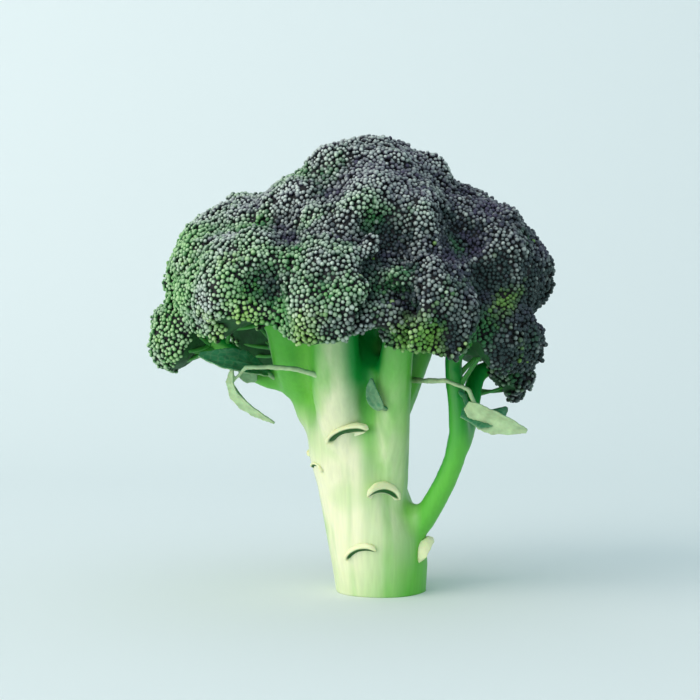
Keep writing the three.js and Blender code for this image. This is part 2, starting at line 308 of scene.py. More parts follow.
def stalk_skin(settings):
    """Broccoli stalk: a smooth waxy skin, pale on the ribs and green in the hollows, with painted shade, a
    deep green, under the crown and where branches crowd together.
    """
    material, add, shade = start_material("stalk_skin")
    where = add("TexCoord")
    # Fibres run up the stalk, about 1.2 mm apart, and broad bands about 9 mm apart.
    along = add("Mapping", inputs={0: (where, "Object"), "Scale": (1, 1, 0.06)})
    fibres = add("TexNoise", inputs={0: (along, 0), "Scale": 1 / (1.2 * MM), "Detail": 2})
    bands = add("TexNoise", inputs={0: (along, 0), "Scale": 1 / (9 * MM), "Detail": 2})
    blush = add("TexNoise", inputs={0: (where, "Object"), "Scale": 1 / (20 * MM), "Detail": 1})
    hollow = add("Attribute", {"attribute_name": "hollow"})
    green = add("Attribute", {"attribute_name": "green"})
    deep = add("Attribute", {"attribute_name": "deep"})
    in_hollow = add("MapRange", inputs={0: (hollow, "Fac"), 1: -0.1, 2: 0.8, 4: 0.8})
    band = add("MapRange", inputs={0: (bands, "Fac"), 1: 0.5, 2: 0.72, 4: 0.55})
    patch = add("MapRange", inputs={0: (blush, "Fac"), 1: 0.5, 2: 0.75, 4: 0.35})
    skin = mix(add, (green, "Fac"), opaque(settings.ridge), opaque(settings.green))
    skin = mix(add, (band, 0), skin, opaque(settings.green))
    skin = mix(add, (patch, 0), skin, opaque(settings.groove))
    skin = mix(add, (in_hollow, 0), skin, opaque(settings.groove))
    # Painted shade: a deep green mixed in under the crown and where branches crowd together.
    skin = mix(add, (deep, "Fac"), skin, opaque(settings.deep))
    streak = add("MapRange", inputs={0: (fibres, "Fac"), 1: 0.35, 2: 0.65, 3: 0.93, 4: 1.0})
    skin = mix(add, 1.0, skin, (streak, 0), "MULTIPLY")
    bump = add("Bump", inputs={"Strength": 0.25, "Distance": 0.2 * MM, "Height": (fibres, "Fac")})
    shade({
        "Base Color": skin,
        "Roughness": 0.4,
        "IOR": 1.4,
        "Subsurface Weight": 0.3,
        "Subsurface Radius": (1.0, 1.0, 0.4),
        "Subsurface Scale": 2 * MM,
        "Normal": (bump, 0),
    })
    return material


def bud_skin(settings):
    """Closed broccoli buds: a dull waxy skin, with painted shade that darkens each bud's foot, and a pale
    tip that is partly a real wax bloom and partly a painted highlight.
    """
    material, add, shade = start_material("bud_skin")
    tip = add("Attribute", {"attribute_name": "tip"})
    young = add("Attribute", {"attribute_name": "young"})
    fresh = add("Attribute", {"attribute_name": "fresh"})
    sunlit = add("Attribute", {"attribute_name": "sunlit"})
    waxy = add("Attribute", {"attribute_name": "waxy"})
    skin = mix(add, (sunlit, "Fac"), opaque(settings.bud_grey), opaque(settings.bud_violet))
    skin = mix(add, (fresh, "Fac"), skin, opaque(settings.bud_fresh))
    skin = mix(add, (young, "Fac"), skin, opaque(settings.bud_yellow))
    # Painted shade: each bud darkens towards its foot, where its neighbours shade it.
    shadow = add("MapRange", inputs={0: (tip, "Fac"), 1: 0.2, 2: 0.8, 3: 0.04, 4: 1.0})
    skin = mix(add, 1.0, skin, (shadow, 0), "MULTIPLY")
    # Partly painted highlight: the pale tip is wax bloom and light, more on lit buds and less in creases.
    pale_tip = add("MapRange", inputs={0: (tip, "Fac"), 1: 0.55, 2: 1.0, 3: 0.0, 4: 1.0})
    bloom_and_highlight = add("Math", {"operation": "MULTIPLY"}, {0: (pale_tip, 0), 1: (waxy, "Fac")})
    green_tip = mix(add, (fresh, "Fac"), opaque(settings.bud_bloom), opaque(linear("#adcf98")))
    tinted_tip = mix(add, (young, "Fac"), green_tip, opaque(linear("#c3dd7c")))
    skin = mix(add, (bloom_and_highlight, 0), skin, tinted_tip)
    shade({"Base Color": skin, "Roughness": 0.5, "IOR": 1.4, "Specular IOR Level": 0.4})
    return material


def crown_flesh(settings):
    """The flesh under the buds: painted shade, near black, between them, and green mottled with that painted
    shade where the branchlets show.
    """
    material, add, shade = start_material("crown_flesh")
    under = add("Attribute", {"attribute_name": "under"})
    where = add("TexCoord")
    mottle = add("TexNoise", inputs={0: (where, "Object"), "Scale": 1 / (4 * MM), "Detail": 3})
    # Painted shade: the underside is mottled between green and the near-black gap colour.
    pale = mix(add, (mottle, "Fac"), opaque(settings.gap), opaque(linear("#256b33")))
    skin = mix(add, (under, "Fac"), opaque(settings.gap), pale)
    bump = add("Bump", inputs={"Strength": 0.6, "Distance": 1 * MM, "Height": (mottle, "Fac")})
    shade({"Base Color": skin, "Roughness": 0.7, "IOR": 1.4, "Normal": (bump, 0)})
    return material


def branchlet_skin(settings):
    """The thin stalks under the buds: smooth and bright green."""
    material, add, shade = start_material("branchlet_skin")
    where = add("TexCoord")
    patches = add("TexNoise", inputs={0: (where, "Object"), "Scale": 1 / (6 * MM), "Detail": 2})
    skin = mix(add, (patches, "Fac"), opaque(settings.branchlet), opaque(linear("#2a7a34")))
    shade({"Base Color": skin, "Roughness": 0.45, "IOR": 1.4, "Subsurface Weight": 0.2,
           "Subsurface Scale": 1.5 * MM})
    return material


def leaf_skin(settings):
    """A small broccoli leaf: a thin waxy blade, deep green above and grey-green beneath."""
    material, add, shade = start_material("leaf_skin")
    where = add("TexCoord")
    face = add("Attribute", {"attribute_name": "under"})
    blotches = add("TexNoise", inputs={0: (where, "Object"), "Scale": 1 / (3 * MM), "Detail": 4})
    veins = add("TexVoronoi", {"feature": "DISTANCE_TO_EDGE"},
                {0: (where, "Object"), "Scale": 1 / (2.5 * MM)})
    skin = mix(add, (face, "Fac"), opaque(settings.upper), opaque(settings.under))
    vein = add("MapRange", inputs={0: (veins, 0), 1: 0.0, 2: 0.15, 3: 0.1, 4: 0.0})
    skin = mix(add, (vein, 0), skin, opaque(settings.under))
    tone = add("MapRange", inputs={0: (blotches, "Fac"), 1: 0.3, 2: 0.7, 3: 0.75, 4: 1.1})
    skin = mix(add, 1.0, skin, (tone, 0), "MULTIPLY")
    bump = add("Bump", inputs={"Strength": 0.4, "Distance": 0.3 * MM, "Height": (blotches, "Fac")})
    shade({"Base Color": skin, "Roughness": 0.5, "IOR": 1.4, "Normal": (bump, 0),
           "Subsurface Weight": 0.15, "Subsurface Scale": 1 * MM})
    return material


def cut_flesh(settings):
    """Cut broccoli stalk: wet pale flesh that has dried a little, with painted shade along the slit under a
    lip.
    """
    material, add, shade = start_material("cut_flesh")
    where = add("TexCoord")
    grain = add("TexNoise", inputs={0: (where, "Object"), "Scale": 1 / (1.2 * MM), "Detail": 3})
    dry = add("TexNoise", inputs={0: (where, "Object"), "Scale": 1 / (5 * MM), "Detail": 2})
    slit = add("Attribute", {"attribute_name": "slit"})
    skin = mix(add, (dry, "Fac"), opaque(settings.flesh), opaque(linear("#dde8ac")))
    below = add("Attribute", {"attribute_name": "below"})
    skin = mix(add, (below, "Fac"), skin, opaque(settings.ridge))
    # Painted shade: the slit colour darkens the slit that the lip's shape sinks, where shade falls under the
    # lip.
    inside = add("MapRange", inputs={0: (slit, "Fac"), 1: 0.25, 2: 0.6})
    skin = mix(add, (inside, 0), skin, opaque(settings.slit))
    bump = add("Bump", inputs={"Strength": 0.4, "Distance": 0.2 * MM, "Height": (grain, "Fac")})
    shade({"Base Color": skin, "Roughness": 0.5, "IOR": 1.4, "Normal": (bump, 0),
           "Subsurface Weight": 0.2, "Subsurface Scale": 1.5 * MM})
    return material


def seamless_paper(settings):
    """A roll of pale seamless paper, matt."""
    material, _, shade = start_material("seamless_paper")
    shade({"Base Color": opaque(settings.paper), "Roughness": 0.9, "Specular IOR Level": 0.1})
    return material


# ---- Stem ----


def build_stem(settings):
    """The stalk and its branches as the one grown thing that they are."""
    nodes = nodes_of("stalk") + nodes_of("branch")
    core = merged_copy(["stalk"], "core")
    fill_out(core.data, settings.core)
    fan = merged_copy(["branch_front_left"], "fan")
    lean_left(fan.data, settings.fan)
    stem = merged_copy(nodes, "stem")
    core.select_set(True)
    fan.select_set(True)
    bpy.ops.object.join()
    # The foot runs on below the cut, so that the cut itself stays crisp.
    points = read(stem.data.vertices, "co", 3)
    points[points[:, 2] < MM, 2] = -5 * MM
    write_points(stem.data, points)
    # Swollen and shrunk again, so that a web of skin fills the hollows between branches.
    modify(stem, "DISPLACE", strength=settings.web, mid_level=0)
    modify(stem, "REMESH", mode="VOXEL", voxel_size=settings.grain)
    modify(stem, "SMOOTH", factor=0.5, iterations=4)
    modify(stem, "DISPLACE", strength=0.5 * MM - settings.web, mid_level=0)
    modify(stem, "REMESH", mode="VOXEL", voxel_size=settings.grain)
    modify(stem, "SMOOTH", factor=0.5, iterations=settings.fillet)
    pick(stem)
    bpy.ops.object.mode_set(mode="EDIT")
    bpy.ops.mesh.select_all(action="SELECT")
    bpy.ops.mesh.bisect(plane_co=(0, 0, 0), plane_no=(0, 0, 1), use_fill=True, clear_inner=True)
    bpy.ops.object.mode_set(mode="OBJECT")
    # The cut takes in points a hair above and below it, which are set level.
    points = read(stem.data.vertices, "co", 3)
    points[points[:, 2] < 0.1 * MM, 2] = 0
    write_points(stem.data, points)
    tint_stem(stem.data)
    finish_piece(stem, stalk_skin(settings), nodes)
    return stem


def fill_out(mesh, swell):
    """Widens the front of the upper stalk, so that no gap is left behind the branches there."""
    points = read(mesh.vertices, "co", 3)
    across = points[:, :2] - np.array((STALK_MIDDLE, 0))
    across /= np.maximum(np.linalg.norm(across, axis=1), MM)[:, None]
    share = ramp(points[:, 2] / RIM_HEIGHT, 0.76, 0.9) * np.clip(-across[:, 1], 0, 1)
    points[:, :2] += across * (swell * share)[:, None]
    write_points(mesh, points)


def lean_left(mesh, reach):
    """Leans a copy of a branch to the left and back as it rises, which makes the two a fluted fan."""
    points = read(mesh.vertices, "co", 3)
    share = ramp(points[:, 2] / RIM_HEIGHT, 0.55, 0.85)
    points[:, 0] -= reach * share
    points[:, 1] += 0.3 * reach * share
    write_points(mesh, points)


def tint_stem(mesh):
    """Marks where the stem's skin is greener: in hollows, on one side, on branches, and, as painted shade,
    just under the crown, in the cleft in front and where branches crowd together.
    """
    points = read(mesh.vertices, "co", 3)
    normals = read(mesh.vertices, "normal", 3)
    paint(mesh, "hollow", hollowness(mesh, 60, 1.2 * MM))
    stalk_radius = 20 * MM
    aside = points[:, 0] - STALK_MIDDLE
    side = aside / stalk_radius
    behind = points[:, 1] / stalk_radius
    in_front = points[:, 1] < 0
    rise = points[:, 2] / RIM_HEIGHT
    reach = np.hypot(aside, np.maximum(points[:, 1], 0))
    branch = ramp(reach, 18 * MM, 30 * MM)
    branch = np.maximum(branch, ramp(reach, 14 * MM, 22 * MM) * ramp(rise, 0.6, 0.8))
    foot = 1 - ramp(points[:, 2], 0, 28 * MM)
    valley = bell(aside, 4 * MM) * in_front * ramp(rise, 0.12, 0.72)
    # Painted shade: the skin just under the crown is made greener, as shade falls there.
    neck_shade = ramp(rise, 0.72, 0.94)
    green = 0.75 * np.clip(side, -0.3, 1) + 0.4 * np.clip(behind, 0, 1) + branch
    green += 0.45 * foot + 0.8 * valley + 0.4 * neck_shade
    paint(mesh, "green", np.clip(green, 0, 1))

    # Painted shade: a deep green where the skin is shut in, in the cleft in front, on the tops of branches,
    # on the far side high up, and just under the crown.
    cleft = bell(aside + 3 * MM, 7.5 * MM) * in_front * ramp(rise, 0.62, 0.92)
    upward = np.clip(normals[:, 2] * 1.6 + 0.25, 0, 1) * branch
    far_side = ramp(side, 1, 2) * ramp(rise, 0.5, 0.8)
    shaded = ramp(rise, 0.86, 1)
    deep = crowding(mesh, points, normals) + cleft + 0.8 * upward + 0.7 * far_side + 0.2 * shaded
    paint(mesh, "deep", np.clip(deep, 0, 1))


def crowding(mesh, points, normals):
    """How shut in each point of the upper stem is, by what lies close in front of it, which sets how much
    shade is painted there.
    """
    near = 26 * MM
    bare = 0.3  # what an open round branch already hides from itself
    tree = BVHTree.FromPolygons(points.tolist(), [face.vertices[:] for face in mesh.polygons])
    spread = [Vector((math.cos(a) * w, math.sin(a) * w, 1.0)) for a in range(6) for w in (0.5, 1.4)]
    found = np.zeros(len(points))
    for i in np.flatnonzero(points[:, 2] > 0.45 * RIM_HEIGHT):
        facing = Vector(normals[i])
        turn = facing.to_track_quat("Z", "Y")
        start = Vector(points[i]) + facing * MM
        hits = sum(tree.ray_cast(start, turn @ ray, near)[0] is not None for ray in spread)
        found[i] = hits / len(spread)
    found = softened(mesh, found[:, None], 6)[:, 0]
    return ramp(found, bare, bare + 0.4)


def build_stubs(settings):
    """What is left of the leaves that were cut off: a crescent lip with a slit along it."""
    material = cut_flesh(settings)
    for node in nodes_of("stub"):
        stub = merged_copy([node], node + "_lip")
        modify(stub, "DISPLACE", strength=0.35 * MM, mid_level=0)
        modify(stub, "REMESH", mode="VOXEL", voxel_size=0.35 * MM)
        modify(stub, "SMOOTH", factor=0.5, iterations=6)
        carve_slit(stub.data, settings.slit_width)
        finish_piece(stub, material, [node])


def carve_slit(mesh, width):
    """Bends a lip into a crescent and sinks a slit along it, marking how deep each vertex lies."""
    points = read(mesh.vertices, "co", 3).astype(float)
    middle = (points.max(0) + points.min(0)) / 2
    outward = np.array((middle[0] - STALK_MIDDLE, middle[1], 0))
    outward /= np.linalg.norm(outward)
    level = np.cross((0, 0, 1), outward)
    run, rise = (points - middle) @ level, points[:, 2] - middle[2]
    slope = (run * rise).sum() / (run**2).sum()
    along = level + np.array((0, 0, slope))
    along /= np.linalg.norm(along)
    upright = np.cross(outward, along)
    run, rise = (points - middle) @ along, (points - middle) @ upright
    share = run / np.abs(run).max()
    half = np.abs(rise).max()
    line = -0.5 * half * share**2  # the slit's own curve, high in the middle
    across = (rise - line) / (width / 2)
    in_slit = np.exp(-(across**2)) * np.clip(1.5 * (1 - share**2), 0, 1)
    sunk = in_slit * width - 0.25 * half * np.clip(share**2, 0, 1)
    below = np.clip(-across / 1.5, 0, 1)
    stand_out = (points - middle) @ outward
    sunk += 0.85 * below * (stand_out - stand_out.min())
    points -= outward * sunk[:, None]
    points -= upright * (0.45 * half * share**2)[:, None]
    write_points(mesh, points)
    paint(mesh, "slit", in_slit)
    paint(mesh, "below", below)


# ---- Crown ----


def build_crown(settings):
    """The florets' flesh as one lobed dome, which the buds then cover."""
    crown = merged_copy(nodes_of("floret"), "crown_flesh")
    modify(crown, "DISPLACE", strength=settings.closing, mid_level=0)
    modify(crown, "REMESH", mode="VOXEL", voxel_size=settings.grain)
    modify(crown, "SMOOTH", factor=0.5, iterations=5)
    deepen_creases(crown.data, settings.crease_depth)
    part_front(crown.data, settings.parting)
    sunk = 0.45 * settings.bud_height
    modify(crown, "DISPLACE", strength=-settings.closing - sunk, mid_level=0)
    modify(crown, "REMESH", mode="VOXEL", voxel_size=settings.grain)
    modify(crown, "SMOOTH", factor=0.5, iterations=4)
    lumps = texture("lumps", "CLOUDS", noise_scale=settings.lump_width, noise_depth=1)
    modify(crown, "DISPLACE", texture=lumps, texture_coords="LOCAL", strength=settings.lump_height,
           mid_level=0.5)
    clusters = texture("clusters", "VORONOI", noise_scale=settings.cluster_width, distance_metric="DISTANCE")
    modify(crown, "DISPLACE", texture=clusters, texture_coords="LOCAL", strength=-settings.cluster_height,
           mid_level=0.4)
    normals = read(crown.data.vertices, "normal", 3)
    points = read(crown.data.vertices, "co", 3)
    paint(crown.data, "under", 1 - bud_cover(points, normals))
    finish_piece(crown, crown_flesh(settings), nodes_of("floret"))
    return crown


def deepen_creases(mesh, strength):
    """Pushes a surface away from its own softened shape, so creases sink and lobes swell."""
    rounds = 110  # of softening, which leave the lobes as low swellings
    points = read(mesh.vertices, "co", 3)
    write_points(mesh, points + strength * (points - softened(mesh, points, rounds)))


def part_front(mesh, depth):
    """Sinks the one deep crease, low in front between two florets."""
    left, right = (sum(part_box("floret_" + side), Vector()) / 2 for side in ("front_left", "front_right"))
    middle = np.array((left + right) / 2)
    across = np.array((right - left).normalized())
    points = read(mesh.vertices, "co", 3)
    aside = ((points - middle) @ across) / (6.5 * MM)
    above = (points[:, 2] - middle[2]) / (24 * MM)
    front = points[:, 1] < 0.5 * middle[1]
    sunk = depth * np.exp(-(aside**2) - above**2) * front
    write_points(mesh, points - read(mesh.vertices, "normal", 3) * sunk[:, None])


def bud_cover(points, normals):
    """1 where the crown bears buds and 0 on its underside, for points and the ways they face."""
    outward = points - np.array((CROWN_MIDDLE.x, CROWN_MIDDLE.y, RIM_HEIGHT))
    outward[:, 2] = 0
    outward /= np.maximum(np.linalg.norm(outward, axis=1), 1e-6)[:, None]
    facing_out = (normals * outward).sum(1)
    # A low floret, which hangs below the rim, is covered further round than the others.
    hanging = np.clip((RIM_HEIGHT - points[:, 2]) / (8 * MM), 0, 1)
    lifted = normals[:, 2] + 0.8 * facing_out + 0.5 * hanging
    return np.clip((lifted + 0.6) / 0.15, 0, 1)


def scatter(mesh, spacing, bears):
    """Points spread evenly over a mesh's faces where bears, a value at each vertex, is over a half.

    Returns the points, and the surface of those faces for finding the way that each faces."""
    crowd = 7  # tries for each square of that spacing, enough to fill every gap
    rng = np.random.default_rng(SEED)
    mesh.calc_loop_triangles()
    corners = read(mesh.loop_triangles, "vertices", 3)
    points = read(mesh.vertices, "co", 3).astype(float)
    corners = corners[bears[corners].mean(1) > 0.5]
    a, b, c = (points[corners[:, i]] for i in range(3))
    areas = np.linalg.norm(np.cross(b - a, c - a), axis=1) / 2
    tries = int(areas.sum() / spacing**2 * crowd)
    chosen = rng.choice(len(corners), tries, p=areas / areas.sum())
    u, v = rng.random((2, tries))
    over = u + v > 1
    u[over], v[over] = 1 - u[over], 1 - v[over]
    w = 1 - u - v
    spots = w[:, None] * a[chosen] + u[:, None] * b[chosen] + v[:, None] * c[chosen]
    tree = kdtree.KDTree(tries)
    for i, spot in enumerate(spots):
        tree.insert(spot, i)
    tree.balance()
    free = np.ones(tries, bool)
    kept = []
    for i in range(tries):
        if free[i]:
            kept.append(i)
            for _, near, _ in tree.find_range(spots[i], spacing):
                free[near] = False
    return spots[kept], BVHTree.FromPolygons(points.tolist(), corners.tolist())


def settled(spots, surface, spacing):
    """Spots pushed apart a few times, each kept on the surface, and the surface's normal there."""
    reach = 1.7 * spacing  # how far off a neighbour still pushes
    strength = 0.22 * spacing
    faces = np.zeros_like(spots)
    for _ in range(4):
        tree = kdtree.KDTree(len(spots))
        for i, spot in enumerate(spots):
            tree.insert(spot, i)
        tree.balance()
        moved = spots.copy()
        for i, spot in enumerate(spots):
            push = Vector((0, 0, 0))
            here = Vector(spot)
            for there, near, gap in tree.find_range(spot, reach):
                if near != i and gap > 0:
                    push += (here - there) * ((1 - gap / reach) / gap)
            place, normal, _, _ = surface.find_nearest(here + push * strength)
            moved[i] = place
            faces[i] = normal
        spots = moved
    return spots, faces


def model_bud(settings):
    """One closed bud, centred on the origin: an egg, widest above its middle, with a blunt tip."""
    deselect()
    bpy.ops.mesh.primitive_uv_sphere_add(segments=6, ring_count=6, radius=settings.bud_width / 2)
    bud = bpy.context.object
    bpy.ops.object.mode_set(mode="EDIT")
    bpy.ops.mesh.select_all(action="SELECT")
    bpy.ops.transform.resize(value=(1, 1, settings.bud_height / settings.bud_width))
    bpy.ops.object.mode_set(mode="OBJECT")
    points = read(bud.data.vertices, "co", 3)
    rise = points[:, 2] / points[:, 2].max()
    tip = np.clip((rise + 0.5) / 1.5, 0, 1)
    points[rise > 0.99, 2] *= 0.8  # the pole, pushed in to blunt the tip
    points[:, :2] *= (1 + 0.14 * np.sin(math.pi * rise))[:, None]
    write_points(bud.data, points)
    paint(bud.data, "tip", tip)
    return bud


# Where the buds are younger and yellow-green: the floret, how far across its width and up its height,
# how wide the patch is, and how strong.
YOUNG_PATCHES = [
    ("floret_front_far_left", 0.54, 0.03, 15 * MM, 1.0),
    ("floret_front_far_left", 0.5, 0.68, 7 * MM, 0.5),
    ("floret_front_left", 0.3, 0.16, 8 * MM, 1.0),
    ("floret_front_right", 0.36, 0.2, 11 * MM, 0.8),
    ("floret_right_low", 0.5, 0.8, 6 * MM, 0.8),
    ("floret_right_low", 0.25, 0.15, 7 * MM, 0.5),
    ("floret_left", 0.25, 0.42, 7 * MM, 0.5),
    ("floret_left_low", 0.2, 0.45, 7 * MM, 0.5),
    ("floret_back_low", 0.6, 0.1, 12 * MM, 0.9),
    ("floret_back_right", 0.8, 0.2, 11 * MM, 0.8),
    ("floret_back_left", 0.2, 0.15, 10 * MM, 0.8),
]


def youth(spots):
    """How young the buds at some spots are, from 0 to 1."""
    found = np.zeros(len(spots))
    for floret, across, up, width, strength in YOUNG_PATCHES:
        low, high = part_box(floret)
        inward = 0.2 if low.y + high.y < 0 else 0.8  # near the floret's outer side
        shares = np.array((across, inward, up))
        middle = np.array(low) + shares * (np.array(high) - np.array(low))
        away = np.linalg.norm((spots - middle) * (1, 0.5, 1), axis=1) / width
        found = np.maximum(found, 0.8 * strength * np.exp(-(away**2)))
    return found


def in_creases(mesh, spots):
    """How far each spot lies in a crease between lobes, from -1 on a lobe's top to 1."""
    hollow = hollowness(mesh, 60, 2.5 * MM)
    tree = kdtree.KDTree(len(hollow))
    for i, vertex in enumerate(mesh.vertices):
        tree.insert(vertex.co, i)
    tree.balance()
    return hollow[[tree.find(spot)[1] for spot in spots]]


def patchy(spots, width, seed):
    """Smooth noise at each spot, in patches of about that width, with a mean of 0."""
    return np.array([noise.noise(Vector(spot) / width + Vector((seed, 0, 0))) for spot in spots])


def stand_buds(spots, faces, rng):
    """How each bud stands: its axis and the two sides square to it, its size, and its lift."""
    count = len(spots)
    outward = unit(spots - np.array((CROWN_MIDDLE.x, CROWN_MIDDLE.y, RIM_HEIGHT)))
    axis = unit(faces + 0.25 * outward + 0.3 * rng.standard_normal((count, 3)))
    side = unit(np.cross(axis, rng.standard_normal((count, 3))))
    other = np.cross(axis, side)
    size = 1 + 0.13 * rng.standard_normal(count).clip(-2, 2)
    side *= (1 + 0.1 * rng.standard_normal(count).clip(-2, 2))[:, None]
    lift = 0.35 * MM * rng.standard_normal(count).clip(-2, 2) + 1.3 * MM * patchy(spots, 3.5 * MM, 21)
    return axis, side, other, size, lift


def tone_buds(crown, spots, faces, rng):
    """How young, fresh and sunlit each bud is, and how much pale wax bloom and painted highlight its tip
    gets, for its material to read.
    """
    count = len(spots)
    height = (spots[:, 2] - RIM_HEIGHT) / (CROWN_HIGH.z - RIM_HEIGHT)
    left = (CROWN_MIDDLE.x - spots[:, 0]) / (CROWN_HIGH.x - CROWN_MIDDLE.x)
    wander = 0.1 * rng.standard_normal(count)
    sunk = in_creases(crown, spots)
    young = youth(spots) + 0.5 * patchy(spots, 9 * MM, 3) * (1 - height) + wander * 0.7 - 0.2
    young[rng.random(count) < 0.002] = 0.5
    fresh = 0.65 * left + 0.75 * (0.6 - height) + 0.9 * patchy(spots, 14 * MM, 5) + wander
    sunlit = 0.7 * faces[:, 2] + 0.5 * height + 0.6 * patchy(spots, 16 * MM, 9) + wander - 0.15
    in_front = spots[:, 1] < CROWN_MIDDLE.y
    low_front = np.clip(0.75 - height, 0, 1) * in_front * np.clip(0.5 - left, 0, 1)
    # Wax and painted light: random wax, more on the lit left side and high up, less as painted shade in
    # creases and low in front.
    waxy = 0.44 + 0.2 * rng.standard_normal(count) + 0.5 * left + 0.4 * (height - 0.5) - 0.7 * sunk
    waxy -= 0.5 * low_front
    return {"young": young, "fresh": fresh, "sunlit": sunlit, "waxy": waxy}


def copy_meshes(name, model, places):
    """One mesh of many copies of a model, each given as the places of all the model's vertices."""
    loops = read(model.loops, "vertex_index").astype(np.int32)
    starts = read(model.polygons, "loop_start").astype(np.int32)
    totals = read(model.polygons, "loop_total").astype(np.int32)
    count, corners = places.shape[:2]
    step = np.arange(count, dtype=np.int32)[:, None]
    mesh = bpy.data.meshes.new(name)
    mesh.vertices.add(count * corners)
    mesh.loops.add(count * len(loops))
    mesh.polygons.add(count * len(starts))
    mesh.loops.foreach_set("vertex_index", (loops[None] + step * corners).ravel())
    mesh.polygons.foreach_set("loop_start", (starts[None] + step * len(loops)).ravel())
    mesh.polygons.foreach_set("loop_total", np.tile(totals, count))
    write_points(mesh, places.reshape(-1, 3))
    mesh.update(calc_edges=True)
    return mesh


def build_buds(settings):
    """The closed buds, one piece to a floret, each a copy of the one bud."""
    crown = bpy.data.objects["crown_flesh"].data
    bears = bud_cover(read(crown.vertices, "co", 3), read(crown.vertices, "normal", 3))
    spots, faces = settled(*scatter(crown, settings.bud_spacing, bears), settings.bud_spacing)
    rng = np.random.default_rng(SEED + 1)
    axis, side, other, size, lift = stand_buds(spots, faces, rng)
    tones = tone_buds(crown, spots, faces, rng)

    bud = model_bud(settings)
    egg = read(bud.data.vertices, "co", 3).astype(float)
    tips = read(bud.data.attributes["tip"].data, "value")
    florets = nodes_of("floret")
    centres = np.array([(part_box(name)[0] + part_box(name)[1]) / 2 for name in florets])
    nearest = np.linalg.norm(spots[:, None] - centres[None], axis=2).argmin(1)
    material = bud_skin(settings)
    for number, node in enumerate(florets):
        mine = np.flatnonzero(nearest == number)
        across = egg[None, :, 0, None] * side[mine][:, None] + egg[None, :, 1, None] * other[mine][:, None]
        upward = egg[None, :, 2, None] * axis[mine][:, None]
        eggs = (across + upward) * size[mine][:, None, None]
        eggs += (spots[mine] + axis[mine] * lift[mine][:, None])[:, None]
        mesh = copy_meshes("buds_" + node, bud.data, eggs)
        for name, values in tones.items():
            paint(mesh, name, np.repeat(values[mine].clip(0, 1), len(egg)))
        paint(mesh, "tip", np.tile(tips, len(mine)))
        piece = bpy.data.objects.new(node.replace("floret", "buds"), mesh)
        bpy.context.scene.collection.objects.link(piece)
        finish_piece(piece, material, [node])
    bpy.data.objects.remove(bud)


# ---- Branchlets ----


def model_branchlet(settings):
    """One branchlet, standing on the origin and one unit tall: a slim stalk, wider at both its ends."""
    deselect()
    widths = [0.8, 0.9, 0.95, 1.0, 1.15]  # each ring's width over the last one's
    bpy.ops.mesh.primitive_circle_add(
        vertices=7, radius=settings.branchlet_width / 2, fill_type="NGON", location=(0, 0, 0)
    )
    branchlet = bpy.context.object
    bpy.ops.object.mode_set(mode="EDIT")
    bpy.ops.mesh.select_all(action="SELECT")
    for width in widths:
        bpy.ops.mesh.extrude_region_move(TRANSFORM_OT_translate={"value": (0, 0, 1 / len(widths))})
        bpy.ops.transform.resize(value=(width, width, 1))
    bpy.ops.mesh.select_all(action="SELECT")
    bpy.ops.mesh.normals_make_consistent(inside=False)
    bpy.ops.object.mode_set(mode="OBJECT")
    return branchlet


def build_branchlets(settings):
    """The thin stalks that fan out from the branches to the crown's underside, as one piece."""
    crown = bpy.data.objects["crown_flesh"]
    stem = bpy.data.objects["stem"]
    points = read(crown.data.vertices, "co", 3)
    bare = 1 - bud_cover(points, read(crown.data.vertices, "normal", 3))
    bare = softened(crown.data, bare[:, None], 20)[:, 0] ** 4  # well in from the rim
    ends, underside = scatter(crown.data, settings.branchlet_gap, bare)
    wood = BVHTree.FromPolygons(
        read(stem.data.vertices, "co", 3).tolist(), [face.vertices[:] for face in stem.data.polygons]
    )
    branchlet = model_branchlet(settings)
    rng = np.random.default_rng(SEED + 2)
    drop = Vector((0, 0, 9 * MM))  # a branchlet leaves its branch about this far below its end
    overlap = MM  # how far both its ends run into the flesh
    copies = []
    for end in map(Vector, ends):
        root, facing, _, _ = wood.find_nearest(end - drop)
        way = end - root
        clear = wood.find_nearest(end)[3] > 5 * MM
        if not clear or not 4 * MM < way.length < 15 * MM:
            continue
        start = root - facing * overlap
        finish = end - underside.find_nearest(end)[1] * overlap
        knee = start + Vector((way.x * 0.35, way.y * 0.35, way.z * 0.6)) + facing * 2 * MM
        copies.append(bend_copy(branchlet, start, knee, finish, 0.75 + 0.5 * rng.random()))
    bpy.data.objects.remove(branchlet)
    deselect()
    for copy in copies:
        copy.select_set(True)
    bpy.context.view_layer.objects.active = copies[0]
    bpy.ops.object.join()
    fan = bpy.context.object
    fan.name = "branchlets"
    fan.data.materials.append(branchlet_skin(settings))
    pick(fan)
    bpy.ops.object.shade_smooth()
    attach(fan, "root")


def bend_copy(model, start, knee, finish, girth):
    """A copy of an upright model of height 1, bent along the curve from start to finish by knee."""
    mesh = model.data.copy()
    points = read(mesh.vertices, "co", 3).astype(float)
    side = (finish - start).cross(Vector((0.3, 1, 0.1))).normalized()
    placed = []
    for x, y, t in points:
        middle = start * (1 - t) ** 2 + knee * (2 * t * (1 - t)) + finish * t**2
        ahead = ((knee - start) * (1 - t) + (finish - knee) * t).normalized()
        across = (side - ahead * side.dot(ahead)).normalized()
        placed.append(middle + (across * x + ahead.cross(across) * y) * girth)
    write_points(mesh, placed)
    copy = bpy.data.objects.new("branchlet_copy", mesh)
    bpy.context.scene.collection.objects.link(copy)
    return copy


# ---- Leaves ----


PALENESS = {"leaf_right_pale": 0.85, "leaf_left_drooping": 0.65, "leaf_left_broad": 0.25}


